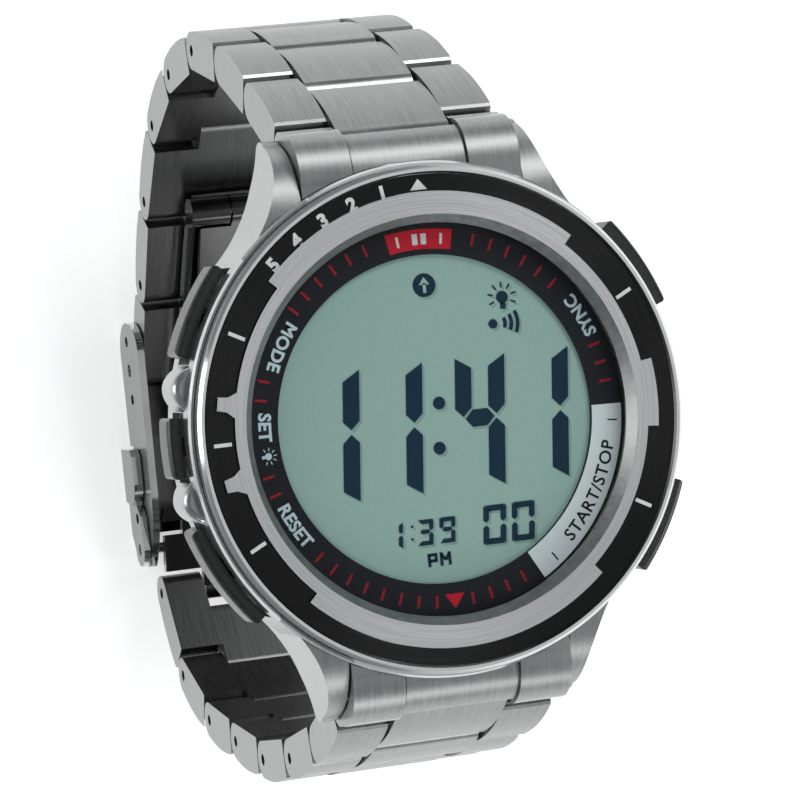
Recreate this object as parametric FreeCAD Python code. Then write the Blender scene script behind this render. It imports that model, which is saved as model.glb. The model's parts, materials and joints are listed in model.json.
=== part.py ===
import FreeCAD, Part
import math
import os

# Digital countdown wristwatch on a steel bracelet with a fold-over clasp.
# +X points to 3 o'clock, +Y to 12 o'clock, +Z out of the dial. Millimetres.
# The closed watch stands on the flat outer face of its clasp, which is z = 0.

os.makedirs("parts", exist_ok=True)

Vec = FreeCAD.Vector
X_AXIS = Vec(1, 0, 0)
Z_AXIS = Vec(0, 0, 1)

# Driving dimensions of the case
DIAL_Z = 83.5            # height of the bezel insert above the clasp's outer face
CASE_R = 25.0
CASE_BOTTOM = -12.2      # measured from DIAL_Z, as are all the levels below
SEAT = -1.9              # seat of the bezel on the case
CAVITY_R = 19.25         # module cavity, open to the back
CRYSTAL_R = 19.9
CRYSTAL_TOP = -1.0
CRYSTAL_T = 1.2
BEZEL_R = 24.5
BEZEL_RISE = 0.4         # rim above the insert
INSERT_R = 23.7
INSERT_T = 0.9
INNER_RING_R = 19.0
INNER_RING_RISE = 0.35
NARROW_STEEL_R = 20.9    # outer edge of the inner steel ring in the button zones
WIDE_STEEL_R = 22.0      # and between them
TAB_R = 22.7             # tip of the two tabs beside the button at 9 o'clock
FIT = 0.04               # play between parts that are set into one another
WINDOW_R = 15.95         # display window
LUG_ROOT_Y = 12.0
LUG_TIP_X = 13.0
LUG_TIP_Y = 28.4
LUG_GAP = 11.35          # half the gap between a pair of lugs
LUG_BAR_Y = 25.7
LUG_BAR_Z = -5.1
LUG_BAR_HALF = LUG_GAP + 1.2
GUARD_ANGLES = (257.6, 283.0)
GUARD_PROFILE = ((-8.5, 22.3), (-5.0, 25.1), (-2.4, 26.1), (0, 26.4), (2.4, 26.1), (5.0, 25.1), (8.5, 22.3))
GUARD_ROUND = 0.7
GUARD_LOW = -7.4
GUARD_HIGH = -2.8

# Driving dimensions of the module and the case back
DIAL_LOW = CRYSTAL_TOP - CRYSTAL_T - 0.45
DIAL_T = 0.4
PANEL_R = 17.4           # display and its light
PANEL_T = 1.2
BOARD_TOP = -5.6
BOARD_T = 0.8
BOARD_R = 17.2
FRAME_R = 19.0
FRAME_IN_R = 17.5
BATTERY_R = 10.0         # standard 20 mm cell, 3.2 mm thick
BATTERY_TOP = -7.0
BATTERY_T = 3.2
BACK_T = 1.4
BACK_R = 22.8
SCREW_ANGLES = (32, 148, 212, 328)
SCREW_CIRCLE_R = 21.6
SCREW_R = 0.5
SCREW_HEAD_R = 0.95
SCREW_HEAD_T = 0.5

# Driving dimensions of the bracelet
PITCH = 11.2             # between the pins of a link
LINK_T = 4.0
CROWN = 0.4              # rise of a link's outer face in its middle
END_R = LINK_T / 2       # rounded link ends, about their pins
END_GAP = 0.25
BEVEL = 0.25             # polished bevel across a link's end
HALF_W0 = 11.2           # half width of the end links
TAPER = 0.19             # loss of half width at each link
CENTRE_SHARE = 0.52      # centre piece's share of the width
GROOVE = 0.1             # half the groove between centre and side pieces
CENTRE_DROP = 0.35       # the end links' centre piece lies below the side pieces
PIN_R = 0.6
RUN_R = 0.66             # running hole for a pin
BAR_R = 0.75             # spring bar in the clasp
BAR_RUN_R = 0.81
PIN_INSET = 0.9          # pin end below the link's side face
UPPER_START = (27.2, DIAL_Z - 8.0)
LOWER_START = (-27.0, DIAL_Z - 8.0)
# Heading of each link, in degrees from outward to down, along the closed loop
UPPER_HEADINGS = (61, 67, 78, 99, 116, 136, 145, 149)
LOWER_HEADINGS = (66, 77, 84, 95, 97, 112, 143)
UPPER_RIVETED = (1, 2)   # links whose pins don't show
LOWER_RIVETED = (1,)

# Driving dimensions of the clasp
COVER_HALF_W = 10.75
COVER_WALL = 0.8
COVER_T = 0.9
COVER_TOP_Y = 11.2
COVER_LIP = 3.6          # length of the rolled lip at the cover's upper end
COVER_END_Y = -16.6
COVER_HEIGHT = 8.0
BAR_STEP = 3.3           # between the holes for the spring bar
HINGE_0 = (-14.6, 2.9)   # cover, flap and outer blade
HINGE_1 = (22.8, 19.8)   # outer and inner blade
KNUCKLE_R = 1.6
KNUCKLE_HALF = 1.6       # inner blade's share of the knuckle
BARREL_R = 1.3
BLADE_ROOM = 3.0         # the last lower link's centre piece is shorter, so that the blade can turn
SKIN_T = 0.45            # outer skin of the last lower link, which closes that room outside
BLADE_T = 1.0
BLADE_OFFSET = 0.75      # each blade's middle, from the middle of the knuckle
BLADE_HALF_W = 6.2
BLADE_NARROW = 5.1       # half width of the inner blade above the cover
BLADE_WIDE = 9.5         # and of its lower end
BLADE_WIDE_Y = -9.9
RAIL_W = 0.8
RAIL_RISE = 0.6
OUTER_SAG = 3.0
INNER_SAG = 1.5
STEP_Y = -2.8            # the cover's plate is recessed below this, for the flap
RECESS_END_Y = -11.0
FLAP_HALF_W = 11.6
FLAP_T = 1.0
FLAP_GAP = 0.3
FLAP_END_Y = -13.0
GRIP_END_Y = -9.5
GRIP_H = 4.6

# Push-buttons: name, clock angle, half length in degrees, outer radius
PUSHERS = (
    ("sync", 60, 10.5, 27.0),
    ("start", 120, 10.5, 27.0),
    ("reset", 240, 12.0, 26.5),
    ("set", 270, 6.5, 26.5),
    ("mode", 300, 10.5, 26.5),
)
PUSHER_Z = -5.4
PUSHER_H = 3.6
PUSHER_IN_R = 25.15
PUSHER_EDGE = 0.55       # rounding of the outer edges
TRAVEL = 0.9
STEM_R = 0.9
STEM_LENGTH = 5.8
SPRING_R = 1.6


def save(name, shape):
    """Write one node."""
    shape.exportStep("parts/" + name + ".step")


def level(z):
    """Height of a level given from the bezel insert."""
    return DIAL_Z + z


def disc(radius, low, high, x=0.0, y=0.0):
    """Upright cylinder between two levels."""
    return Part.makeCylinder(radius, high - low, Vec(x, y, level(low)), Z_AXIS)


def ring(outer, inner, low, high):
    """Upright ring between two levels."""
    return disc(outer, low, high).cut(disc(inner, low - 1, high + 1))


def box(x, y, z):
    """Box from three (low, high) pairs."""
    return Part.makeBox(x[1] - x[0], y[1] - y[0], z[1] - z[0], Vec(x[0], y[0], z[0]))


def clock(radius, angle, z=0.0):
    """Point at a clock angle, in degrees from 12 o'clock."""
    turn = math.radians(angle)
    return Vec(radius * math.sin(turn), radius * math.cos(turn), z)


def sector(outer, inner, start, end, low, high):
    """Part of a ring between two clock angles."""
    middle = (start + end) / 2
    outer_arc = Part.Arc(clock(outer, start), clock(outer, middle), clock(outer, end)).toShape()
    inner_arc = Part.Arc(clock(inner, end), clock(inner, middle), clock(inner, start)).toShape()
    sides = [
        Part.LineSegment(clock(outer, end), clock(inner, end)).toShape(),
        Part.LineSegment(clock(inner, start), clock(outer, start)).toShape(),
    ]
    wire = Part.Wire([outer_arc, sides[0], inner_arc, sides[1]])
    wire.translate(Vec(0, 0, level(low)))
    return Part.Face(wire).extrude(Vec(0, 0, high - low))


def spun(points):
    """Solid of revolution about the dial's axis, from (radius, level) points."""
    path = [Vec(r, 0, level(z)) for r, z in points]
    face = Part.Face(Part.makePolygon(path + path[:1]))
    return face.revolve(Vec(0, 0, 0), Z_AXIS, 360)


def across(radius, half, y, z, inner=0.0):
    """Cylinder along X, centred, or two equal ones that start at x = inner."""
    if inner == 0.0:
        return Part.makeCylinder(radius, 2 * half, Vec(-half, y, z), X_AXIS)
    right = Part.makeCylinder(radius, half - inner, Vec(inner, y, z), X_AXIS)
    left = Part.makeCylinder(radius, half - inner, Vec(-half, y, z), X_AXIS)
    return right.fuse(left)


def side_face(path, x):
    """Face in a plane across X. The path's steps are (y, z) ends, or (via, end) pairs for arcs."""
    edges = []
    last = Vec(x, *path[0])
    for step in path[1:] + path[:1]:
        if isinstance(step[0], tuple):
            via = Vec(x, *step[0])
            end = Vec(x, *step[1])
            edges.append(Part.Arc(last, via, end).toShape())
        else:
            end = Vec(x, *step)
            edges.append(Part.LineSegment(last, end).toShape())
        last = end
    return Part.Face(Part.Wire(edges))


def side_prism(path, low, high):
    """Outline in the YZ plane, extruded along X."""
    return side_face(path, low).extrude(Vec(high - low, 0, 0))


def both_sides(path, low, high):
    """The same outline extruded on the two sides of the middle plane."""
    return side_prism(path, low, high).fuse(side_prism(path, -high, -low))


def union(shapes):
    """All the shapes as one solid, with merged faces."""
    return shapes[0].multiFuse(shapes[1:]).removeSplitter()


# Case -----------------------------------------------------------------------------

def lug_pair(sign):
    """Two lugs at 12 o'clock (sign 1) or 6 o'clock (sign -1)."""
    low = level(-14)
    edges = []
    for side in (1, -1):
        tip = Vec(side * LUG_TIP_X, sign * LUG_TIP_Y, low)
        waist = Vec(side * 14.5, sign * 21.8, low)
        foot = Vec(side * 18.9, sign * 16.0, low)
        root = Vec(side * 19.9, sign * LUG_ROOT_Y, low)
        edges += [Part.Arc(tip, waist, foot).toShape(), Part.LineSegment(foot, root).toShape()]
    for y in (LUG_TIP_Y, LUG_ROOT_Y):
        x = LUG_TIP_X if y == LUG_TIP_Y else 19.9
        edges.append(Part.LineSegment(Vec(-x, sign * y, low), Vec(x, sign * y, low)).toShape())
    block = Part.Face(Part.Wire(Part.sortEdges(edges)[0])).extrude(Vec(0, 0, 14))
    path = [
        (sign * LUG_ROOT_Y, level(-2.0)),
        (sign * 21.0, level(-2.0)),
        ((sign * 25.6, level(-3.9)), (sign * (LUG_TIP_Y - 0.5), level(-7.6))),
        ((sign * LUG_TIP_Y, level(-8.8)), (sign * (LUG_TIP_Y - 0.5), level(-10.0))),
        (sign * 24.0, level(-11.4)),
        (sign * LUG_ROOT_Y, level(CASE_BOTTOM)),
    ]
    block = block.common(side_prism(path, -CASE_R, CASE_R))
    slot = sorted((sign * 15.0, sign * 40.0))
    return block.cut(box((-LUG_GAP, LUG_GAP), slot, (level(-20), level(5))))


def pusher_recess(angle, half):
    """Room in the case for one push-button, with its stem's bore and spring seat."""
    margin = 1.2             # degrees at each end of the button
    low = PUSHER_Z - PUSHER_H / 2 - END_GAP
    high = PUSHER_Z + PUSHER_H / 2 + END_GAP
    room = sector(30, PUSHER_IN_R - TRAVEL - 0.15, angle - half - margin, angle + half + margin, low, high)
    outward = clock(1, angle)
    bore = Part.makeCylinder(STEM_R + 0.06, 12, clock(17, angle, level(PUSHER_Z)), outward)
    seat = Part.makeCylinder(SPRING_R + 0.1, 5, clock(21.9, angle, level(PUSHER_Z)), outward)
    return room.fuse([bore, seat])


def guard(angle):
    """Rounded hump of the case beside the button at 9 o'clock."""
    profile = []
    for offset, radius in GUARD_PROFILE:
        profile.append(clock(radius, angle + offset, level(GUARD_LOW)))
    curve = Part.BSplineCurve()
    curve.interpolate(profile)
    chord = Part.LineSegment(profile[-1], profile[0]).toShape()
    hump = Part.Face(Part.Wire([curve.toShape(), chord])).extrude(Vec(0, 0, GUARD_HIGH - GUARD_LOW))
    rims = []
    for edge in hump.Edges:
        if edge.BoundBox.ZLength < 0.01 and edge.Curve.TypeId == "Part::GeomBSplineCurve":
            rims.append(edge)
    return hump.makeFillet(GUARD_ROUND, rims)


def case_body():
    """Middle case with lugs, guards between the left buttons, and a cavity open to the back."""
    core = spun([
        (0, SEAT), (24.55, SEAT), (24.55, SEAT + 0.6), (24.8, SEAT + 0.6), (CASE_R, SEAT + 0.3),
        (CASE_R, -9.2), (23.6, CASE_BOTTOM), (0, CASE_BOTTOM),
    ])
    guards = []
    for angle in GUARD_ANGLES:
        guards.append(guard(angle))
    body = core.multiFuse([lug_pair(1), lug_pair(-1)] + guards)
    cavity = disc(CAVITY_R, -20, 5)
    crystal_seat = disc(CRYSTAL_R + 0.3, CRYSTAL_TOP - CRYSTAL_T, 5)
    body = body.cut(cavity.fuse(crystal_seat))
    body = body.cut(ring(22.9, 22.2, SEAT - 0.3, SEAT + 1))
    body = body.cut(ring(20.5, 19.9, CASE_BOTTOM - 1, CASE_BOTTOM + 0.5))
    for name, angle, half, outer in PUSHERS:
        body = body.cut(pusher_recess(angle, half))
    for sign in (1, -1):
        body = body.cut(across(PIN_R, LUG_BAR_HALF, sign * LUG_BAR_Y, level(LUG_BAR_Z)))
    for angle in SCREW_ANGLES:
        place = clock(SCREW_CIRCLE_R, angle)
        body = body.cut(disc(SCREW_R, CASE_BOTTOM - 1, CASE_BOTTOM + 2.2, place.x, place.y))
    return body.removeSplitter()


def tab(middle, extra, low, high):
    """Tab of the inner ring: it stands on a wide foot and narrows towards its tip."""
    corners = []
    for side in (-1, 1):
        profile = [(17.0, 3.6), (NARROW_STEEL_R + 0.1, 3.2), (WIDE_STEEL_R - 0.3, 1.9), (TAB_R, 1.5)]
        for radius, half in (profile if side < 0 else reversed(profile)):
            slack = math.degrees(extra / radius)
            tip = extra if radius == TAB_R else 0.0
            corners.append(clock(radius + tip, middle + side * (half + slack), level(low)))
    return Part.Face(Part.makePolygon(corners + corners[:1])).extrude(Vec(0, 0, high - low))


def inner_ring_outline(extra, low, high):
    """Brushed inner ring as seen from above: narrow in the button zones, with two tabs."""
    solid = disc(NARROW_STEEL_R + extra, low, high)
    wide = []
    slack = math.degrees(extra / WIDE_STEEL_R)
    for start, end in ((-47, 42), (80.5, 98), (139, 224)):
        wide.append(sector(WIDE_STEEL_R + extra, 15, start - slack, end + slack, low, high))
    for middle in (260, 280):
        wide.append(tab(middle, extra, low, high))
    return solid.multiFuse(wide)


def bezel_parts():
    """Fixed bezel: polished ring, black insert in its groove, and brushed inner ring."""
    floor = -INSERT_T
    inside = INNER_RING_R + 0.95
    rim = spun([
        (inside, SEAT), (BEZEL_R, SEAT), (BEZEL_R, 0.1), (BEZEL_R - 0.3, BEZEL_RISE),
        (INSERT_R + 0.2, BEZEL_RISE), (INSERT_R + FIT, 0.0), (INSERT_R + FIT, floor), (inside, floor),
    ])
    save("bezel_ring", rim)
    outline = inner_ring_outline(FIT, floor, 0.5)
    insert = disc(INSERT_R, floor, 0.0).cut(outline)
    save("bezel_insert", insert.removeSplitter())
    top = INNER_RING_RISE
    slope = spun([
        (INNER_RING_R, CRYSTAL_TOP), (INNER_RING_R, CRYSTAL_TOP + 0.3), (INNER_RING_R + 0.8, top), (25, top),
        (25, floor), (INNER_RING_R + 0.9, floor), (INNER_RING_R + 0.9, CRYSTAL_TOP),
    ])
    inner = inner_ring_outline(0.0, CRYSTAL_TOP - 1, top).common(slope)
    save("bezel_inner_ring", inner.removeSplitter())


def window_parts():
    """Crystal, seals and the parts of the display."""
    glass = disc(CRYSTAL_R, CRYSTAL_TOP - CRYSTAL_T, CRYSTAL_TOP)
    save("crystal", glass)
    crystal_seal = ring(CRYSTAL_R + 0.28, CRYSTAL_R + 0.01, CRYSTAL_TOP - CRYSTAL_T, SEAT)
    bezel_seal = ring(22.8, 22.3, SEAT - 0.3, SEAT)
    back_seal = ring(20.45, 19.95, CASE_BOTTOM, CASE_BOTTOM + 0.5)
    save("sealing_rings", Part.makeCompound([crystal_seal, bezel_seal, back_seal]))
    save("dial_ring", ring(CAVITY_R - 0.1, WINDOW_R, DIAL_LOW, DIAL_LOW + DIAL_T))
    panel_low = DIAL_LOW - PANEL_T
    save("lcd_panel", disc(PANEL_R, panel_low, DIAL_LOW))
    light = disc(PANEL_R, panel_low - 0.6, panel_low - 0.05)
    keep = box((-20, 20), (-13.0, 13.0), (0, 100))
    save("backlight_panel", light.common(keep))
    strips = []
    for sign in (1, -1):
        y = sorted((sign * 13.4, sign * 14.8))
        strips.append(box((-8.5, 8.5), y, (level(BOARD_TOP), level(panel_low))))
    save("contact_strips", Part.makeCompound(strips))


def module_parts():
    """What drives the display: frame, board, cell, cell clip and buzzer."""
    frame = ring(FRAME_R, FRAME_IN_R, -11.2, DIAL_LOW)
    floor = disc(FRAME_IN_R, BATTERY_TOP - 0.6, BOARD_TOP - BOARD_T).cut(disc(BATTERY_R + 0.3, -20, 0))
    frame = frame.fuse(floor)
    for name, angle, half, outer in PUSHERS:
        slot = Part.makeCylinder(STEM_R + 0.4, 6, clock(15, angle, level(PUSHER_Z)), clock(1, angle))
        frame = frame.cut(slot)
    save("module_frame", frame.removeSplitter())
    save("circuit_board", disc(BOARD_R, BOARD_TOP - BOARD_T, BOARD_TOP))
    cell_low = BATTERY_TOP - BATTERY_T
    cell = disc(BATTERY_R, cell_low, BATTERY_TOP - 0.5)
    save("battery", cell.fuse(disc(BATTERY_R - 1.2, BATTERY_TOP - 0.5, BATTERY_TOP)))
    strap = box((-3, 3), (-14.5, 14.5), (level(cell_low - 0.4), level(cell_low)))
    legs = []
    for sign in (1, -1):
        y = sorted((sign * 13.5, sign * 14.5))
        legs.append(box((-3, 3), y, (level(cell_low), level(BATTERY_TOP - 0.6))))
    save("battery_clip", union([strap] + legs))
    save("buzzer_disc", disc(9, CASE_BOTTOM, CASE_BOTTOM + 0.4))


def case_back():
    """Screwed back plate with a stepped rim, and its four screws."""
    plate_low = CASE_BOTTOM - BACK_T
    plate = spun([
        (0, plate_low), (BACK_R - 1.4, plate_low), (BACK_R, CASE_BOTTOM - 0.7),
        (BACK_R, CASE_BOTTOM), (0, CASE_BOTTOM),
    ])
    head_top = CASE_BOTTOM - 0.6
    head_low = head_top - SCREW_HEAD_T
    screws = []
    for angle in SCREW_ANGLES:
        place = clock(SCREW_CIRCLE_R, angle)
        x = place.x
        y = place.y
        plate = plate.cut(disc(SCREW_HEAD_R + 0.1, plate_low - 1, head_top, x, y))
        plate = plate.cut(disc(SCREW_R, plate_low, CASE_BOTTOM + 1, x, y))
        head = disc(SCREW_HEAD_R, head_low, head_top, x, y)
        slot = box((x - 1, x + 1), (y - 0.15, y + 0.15), (0, level(head_low + 0.2)))
        shank = disc(SCREW_R, head_top, CASE_BOTTOM + 2.0, x, y)
        screws.append(head.cut(slot).fuse(shank))
    save("case_back", plate)
    save("case_back_screws", Part.makeCompound(screws))


def pusher(angle, half, outer):
    """Push-button: a curved bar on a round stem."""
    low = PUSHER_Z - PUSHER_H / 2
    high = PUSHER_Z + PUSHER_H / 2
    bar = sector(outer, PUSHER_IN_R, angle - half, angle + half, low, high)
    outer_edges = []
    for edge in bar.Edges:
        middle = edge.valueAt((edge.FirstParameter + edge.LastParameter) / 2)
        if math.hypot(middle.x, middle.y) > outer - 0.1:
            outer_edges.append(edge)
    bar = bar.makeFillet(PUSHER_EDGE, outer_edges)
    stem = Part.makeCylinder(STEM_R, STEM_LENGTH, clock(19.6, angle, level(PUSHER_Z)), clock(1, angle))
    return bar.fuse(stem)


def pusher_parts():
    """Five push-buttons and the return springs in the case's spring seats."""
    springs = []
    for name, angle, half, outer in PUSHERS:
        save("pusher_" + name, pusher(angle, half, outer))
        outward = clock(1, angle)
        foot = clock(21.95, angle, level(PUSHER_Z))
        coil = Part.makeCylinder(SPRING_R, 1.2, foot, outward)
        springs.append(coil.cut(Part.makeCylinder(STEM_R + 0.3, 3, foot, outward)))
    save("pusher_springs", Part.makeCompound(springs))


# Bracelet -------------------------------------------------------------------------

class Station:
    """A link's own axes: its first pin, the direction to the next, and outward."""

    def __init__(self, start, heading, sign):
        turn = math.radians(heading)
        self.start = start
        self.sign = sign
        self.along = (sign * math.cos(turn), -math.sin(turn))
        self.out = (sign * math.sin(turn), math.cos(turn))

    def at(self, s, t):
        """Point (y, z) at distance s along the link and t outward."""
        y = self.start[0] + s * self.along[0] + t * self.out[0]
        z = self.start[1] + s * self.along[1] + t * self.out[1]
        return (y, z)


def stations(start, headings, sign):
    """One station for each link of a chain."""
    row = []
    for heading in headings:
        station = Station(start, heading, sign)
        row.append(station)
        start = station.at(PITCH, 0)
    return row


def tapered(station, half_w, low, high):
    """Slab that narrows along a link and trims its sides."""
    corners = []
    for s, side in ((low, 1), (high, 1), (high, -1), (low, -1)):
        half = half_w - TAPER * s / PITCH
        y, z = station.at(s, -LINK_T)
        corners.append(Vec(side * half, y, z))
    y, z = station.out
    return Part.Face(Part.makePolygon(corners + corners[:1])).extrude(Vec(0, y, z) * (2 * LINK_T))


def link(station, index, riveted, full_end, cut_back):
    """H-shaped link: a centre piece and two side pieces, set off along the chain."""
    top = LINK_T / 2
    half_w = HALF_W0 - TAPER * index
    split = half_w * CENTRE_SHARE
    at = station.at
    near = END_R + END_GAP
    far = PITCH - near - cut_back
    side_path = [
        at(near, -top), at(near, top - BEVEL), at(near + BEVEL, top),
        (at((near + PITCH) / 2, top + CROWN), at(PITCH, top)),
        (at(PITCH + END_R, 0), at(PITCH, -top)),
    ]
    centre_path = [
        at(0, -top), (at(-END_R, 0), at(0, top)),
        (at(far / 2, top + CROWN), at(far - BEVEL, top)),
        at(far, top - BEVEL), at(far, -top),
    ]
    pieces = [
        both_sides(side_path, split + GROOVE, HALF_W0 + 1),
        side_prism(centre_path, -split + GROOVE, split - GROOVE),
    ]
    web_path = [at(near, -top), at(near, top - BEVEL), at(far, top - BEVEL), at(far, -top)]
    pieces.append(side_prism(web_path, -split - 0.5, split + 0.5))
    if cut_back:
        skin_end = PITCH - BARREL_R - END_GAP
        skin_path = [
            at(far - 1, top - SKIN_T), at(far - 1, top), at(skin_end, top), at(skin_end, top - SKIN_T),
        ]
        pieces.append(side_prism(skin_path, -split - 0.5, split + 0.5))
    if full_end:
        tail_path = [at(far - 1, -top), at(far - 1, top - BEVEL), at(PITCH, top - BEVEL), at(PITCH, -top)]
        pieces.append(side_prism(tail_path, -split - 0.5, split + 0.5))
    body = union(pieces)
    body = body.common(tapered(station, half_w, -END_R - 1, PITCH + END_R + 1))
    y, z = at(PITCH, 0)
    hole_half = half_w - TAPER - PIN_INSET if riveted else 20
    hole_r = BAR_RUN_R if full_end else PIN_R
    body = body.cut(across(hole_r, hole_half, y, z))
    y, z = at(0, 0)
    body = body.cut(across(RUN_R, split + 0.05, y, z))
    return body.removeSplitter()


def link_pin(station, index, open_middle):
    """Pin through a link's far end and the next centre piece, or only its two tips."""
    y, z = station.at(PITCH, 0)
    half = HALF_W0 - TAPER * (index + 1) - PIN_INSET
    inner = (HALF_W0 - TAPER * index) * CENTRE_SHARE + GROOVE if open_middle else 0.0
    return across(PIN_R, half, y, z, inner)


def chain(prefix, row, riveted_links, ends_in_clasp):
    """Links and pins of one half of the bracelet. A link with hidden pins shares their node."""
    for number, station in enumerate(row, start=1):
        riveted = number in riveted_links
        last = number == len(row)
        full_end = ends_in_clasp and last
        cut_back = BLADE_ROOM if last and not full_end else 0.0
        body = link(station, number - 1, riveted, full_end, cut_back)
        pin = link_pin(station, number - 1, last)
        if riveted:
            body = Part.makeCompound([body, pin])
        elif not full_end:
            save(prefix + "_pin_%d" % number, pin)
        save(prefix + "_link_%d" % number, body)


def end_link_outline(station, drop):
    """Outline of an end link, its outer face lowered by a drop."""
    at = station.at
    sign = station.sign
    top = -2.1 - drop
    return [
        (sign * 21.5, level(top)), (sign * 23.6, level(top)),
        ((sign * (28.2 - 0.8 * drop), level(-4.1 - 0.6 * drop)), at(0, END_R - drop)),
        (at(END_R, 0), at(0, -END_R)),
        (sign * 21.5, level(-9.6)),
    ]


def end_link(station):
    """Link between the lugs: it covers the lug bar and carries the first link."""
    at = station.at
    split = HALF_W0 * CENTRE_SHARE
    sides = both_sides(end_link_outline(station, 0.0), split + GROOVE, HALF_W0)
    centre = side_prism(end_link_outline(station, CENTRE_DROP), -split + GROOVE, split - GROOVE)
    web = side_prism(end_link_outline(station, CENTRE_DROP + BEVEL), -split - 0.5, split + 0.5)
    stop = -END_R - END_GAP
    reach = 9.0
    beyond_path = [at(stop, -reach), at(stop, reach), at(reach, reach), at(reach, -reach)]
    beyond = side_prism(beyond_path, -split - GROOVE, split + GROOVE)
    body = union([sides, centre, web]).cut(beyond)
    body = body.cut(disc(CASE_R + 0.05, -20, 5))
    body = body.cut(across(PIN_R, 20, station.sign * LUG_BAR_Y, level(LUG_BAR_Z)))
    body = body.cut(across(PIN_R, HALF_W0 - PIN_INSET, *station.start))
    return body.removeSplitter()


# Clasp ----------------------------------------------------------------------------

def clasp_cover(bar_y, bar_z):
    """Channel that hides the folded blades, with a row of adjustment holes for the end bar."""
    inner = COVER_HALF_W - COVER_WALL
    lip_y = COVER_TOP_Y - COVER_LIP
    low = FLAP_T + FLAP_GAP
    wall_path = [
        (lip_y, 0.0),
        ((COVER_TOP_Y - 0.5, 1.6), (COVER_TOP_Y, 4.4)),
        ((COVER_TOP_Y - 1.0, COVER_HEIGHT - 1.0), (COVER_TOP_Y - 3.4, COVER_HEIGHT)),
        (-7.0, COVER_HEIGHT - 0.6),
        ((-13.4, COVER_HEIGHT - 2.0), (COVER_END_Y, 3.4)),
        ((COVER_END_Y + 0.3, 2.0), (COVER_END_Y + 1.6, low)),
        (STEP_Y, low),
        (STEP_Y, 0.0),
    ]
    walls = both_sides(wall_path, inner, COVER_HALF_W)
    plate = box((-inner, inner), (STEP_Y, lip_y), (0.0, COVER_T))
    lip_path = [
        (lip_y, 0.0), ((COVER_TOP_Y - 1.7, 0.5), (COVER_TOP_Y - 0.6, 1.6)),
        (COVER_TOP_Y - 1.6, 2.0), (lip_y, COVER_T),
    ]
    lip = side_prism(lip_path, -inner, inner)
    high = low + 0.8
    step = box((-inner, inner), (STEP_Y, STEP_Y + 1.0), (0.6, high))
    recessed = box((-inner, inner), (RECESS_END_Y, STEP_Y + 1.0), (low, high))
    body = union([walls, plate, lip, step, recessed])
    for offset in (-BAR_STEP, BAR_STEP):
        body = body.cut(across(PIN_R, 20, bar_y + offset, bar_z))
    body = body.cut(across(BAR_R, 20, bar_y, bar_z))
    body = body.cut(across(PIN_R, 20, *HINGE_0))
    return body.removeSplitter()


def safety_flap():
    """Plate over the clasp's lower half, on two arms outside the cover's walls."""
    inner = COVER_HALF_W + 0.12
    edge = STEP_Y - FLAP_GAP
    plate = box((-FLAP_HALF_W, FLAP_HALF_W), (FLAP_END_Y, edge), (0.0, FLAP_T))
    y, z = HINGE_0
    ear = 1.9                # radius of the arm's end about the hinge
    arm_path = [
        (FLAP_END_Y, 0.0), (-6.0, 0.0), (-6.0, 3.4), (GRIP_END_Y, 3.4), (GRIP_END_Y - 1.2, 4.5),
        (y + 0.5, z + ear),
        ((y - 1.35, z + 1.35), (y - ear, z)),
        ((y - 1.35, z - 1.35), (y, z - ear)),
    ]
    arms = both_sides(arm_path, inner, FLAP_HALF_W)
    grip_path = [
        (GRIP_END_Y + 0.4, 0.0), (edge, 0.0),
        (edge, GRIP_H - 0.8), (edge - 0.8, GRIP_H), (GRIP_END_Y + 2.4, GRIP_H),
        ((GRIP_END_Y + 0.8, GRIP_H - 0.8), (GRIP_END_Y, 2.0)),
    ]
    grips = both_sides(grip_path, inner, FLAP_HALF_W + 0.3)
    body = union([plate, arms, grips])
    body = body.cut(across(PIN_R, 20, y + 3.6, z + 0.3))
    return body.cut(across(PIN_R + 0.06, 20, y, z)).removeSplitter()


def sag_point(start, end, sag):
    """Middle of a shallow arc that sags below its chord."""
    return ((start[0] + end[0]) / 2 + sag * 0.25, (start[1] + end[1]) / 2 - sag)


def strip(start, end, sag, thickness):
    """Closed outline of a bowed strip of even thickness."""
    half = thickness / 2
    low = [(start[0], start[1] - half), (end[0], end[1] - half)]
    high = [(end[0], end[1] + half), (start[0], start[1] + half)]
    low_via = sag_point(low[0], low[1], sag)
    high_via = sag_point(high[0], high[1], sag)
    return [low[0], (low_via, low[1]), high[0], (high_via, high[1])]


def blade_outer():
    """Blade between the cover's lower hinge and the knuckle, with two raised rails."""
    knuckle_end = (HINGE_1[0], HINGE_1[1] - BLADE_OFFSET)
    plate = side_prism(strip(HINGE_0, knuckle_end, OUTER_SAG, BLADE_T), -BLADE_HALF_W, BLADE_HALF_W)
    rise = RAIL_RISE / 2
    rail_start = (HINGE_0[0], HINGE_0[1] + rise)
    rail_end = (knuckle_end[0], knuckle_end[1] + rise)
    rail_line = strip(rail_start, rail_end, OUTER_SAG, BLADE_T + RAIL_RISE)
    rails = both_sides(rail_line, BLADE_HALF_W - RAIL_W, BLADE_HALF_W)
    barrel = across(BARREL_R, BLADE_HALF_W, *HINGE_0)
    knuckles = across(KNUCKLE_R, BLADE_HALF_W, *HINGE_1, inner=KNUCKLE_HALF + END_GAP)
    clear = across(KNUCKLE_R + 0.25, KNUCKLE_HALF + END_GAP, *HINGE_1)
    body = union([plate, rails, barrel, knuckles]).cut(clear)
    body = body.cut(across(RUN_R, 20, *HINGE_0))
    return body.cut(across(PIN_R, 20, *HINGE_1)).removeSplitter()


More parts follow.
